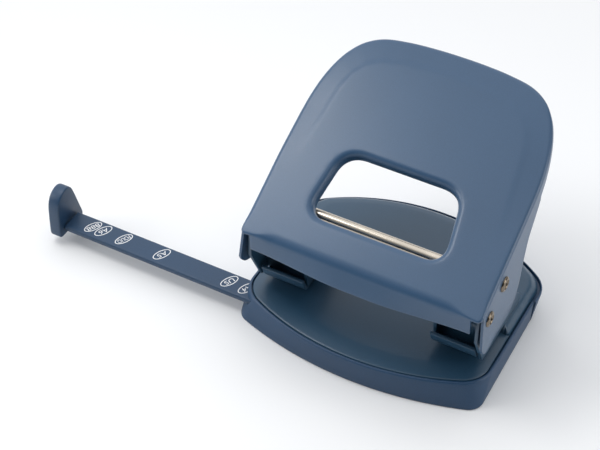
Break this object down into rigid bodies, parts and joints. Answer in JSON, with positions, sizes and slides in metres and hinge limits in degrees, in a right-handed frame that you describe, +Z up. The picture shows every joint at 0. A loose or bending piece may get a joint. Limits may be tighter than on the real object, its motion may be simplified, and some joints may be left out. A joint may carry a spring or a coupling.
{
  "type": "hole punch",
  "caption": "Two-hole desk paper punch: sloping pressed-steel handle with a window, spring-returned punches on a bowed deck, sliding paper rail and a chip tray.",
  "frame": {"origin": "on the table, on the punch's plane of symmetry, under the middle of the base", "axes": "+Z up; +X to the user's right, so the paper rail draws out along -X; +Y away from the user, the way the paper goes in"},
  "size_m": [0.2119, 0.1022, 0.1031],
  "materials": {
    "handle_paint": "satin steel-blue powder coat over pressed steel",
    "deck_paint": "satin steel-blue powder coat over pressed steel, a shade darker",
    "tray_plastic": "fine-grained steel-blue moulded plastic",
    "rail_plastic": "fine-grained steel-blue moulded plastic with white size marks",
    "channel_plastic": "dark moulded plastic",
    "pad_rubber": "soft dark rubber",
    "bright_nickel": "bright nickel plate",
    "zinc_steel": "bright zinc plate",
    "tool_steel": "ground and hardened tool steel",
    "spring_steel": "drawn spring steel"
  },
  "bodies": {
    "base": {"chip_tray": "tray_plastic", "foot_pads": "pad_rubber", "tray_screws": "zinc_steel", "deck_plate": "deck_paint", "left_bracket": "deck_paint", "right_bracket": "deck_paint", "bracket_rivets": "zinc_steel", "left_die": "tool_steel", "right_die": "tool_steel", "left_fulcrum_pin": "bright_nickel", "right_fulcrum_pin": "bright_nickel", "left_spacer_washer": "zinc_steel", "right_spacer_washer": "zinc_steel", "rail_channel": "channel_plastic", "rail_leaf_spring": "spring_steel", "left_return_spring": "spring_steel", "right_return_spring": "spring_steel"},
    "handle": {"handle_shell": "handle_paint", "push_rod": "bright_nickel"},
    "left_punch": {"left_punch_pin": "tool_steel", "left_pin_clip": "spring_steel"},
    "right_punch": {"right_punch_pin": "tool_steel", "right_pin_clip": "spring_steel"},
    "rail": {"paper_rail": "rail_plastic", "paper_stop": "rail_plastic"},
    "door": {"tray_door": "tray_plastic"}
  },
  "joints": [
    {"name": "handle_press", "type": "hinge", "parent": "base", "child": "handle", "pos_m": [0, -0.0361, 0.0479], "axis": [-1, 0, 0], "range_deg": [0, 30], "stiffness_Nm_per_rad": 0.4, "springref_deg": -34.38},
    {"name": "left_punch_travel", "type": "slide", "parent": "base", "child": "left_punch", "axis": [0, 0, -1], "range_m": [0, 0.0079], "deforming": ["left_return_spring"]},
    {"name": "right_punch_travel", "type": "slide", "parent": "base", "child": "right_punch", "axis": [0, 0, -1], "range_m": [0, 0.0079], "deforming": ["right_return_spring"]},
    {"name": "rail_slide", "type": "slide", "parent": "base", "child": "rail", "axis": [1, 0, 0], "range_m": [-0.004, 0.08]},
    {"name": "door_swing", "type": "hinge", "parent": "base", "child": "door", "pos_m": [0, 0.01415, 0.0002], "axis": [-1, 0, 0], "range_deg": [0, 75]}
  ],
  "couplings": [
    {"joint": "left_punch_travel", "follows": "handle_press", "m_per_rad": 0.01483},
    {"joint": "right_punch_travel", "follows": "handle_press", "m_per_rad": 0.01483}
  ]
}
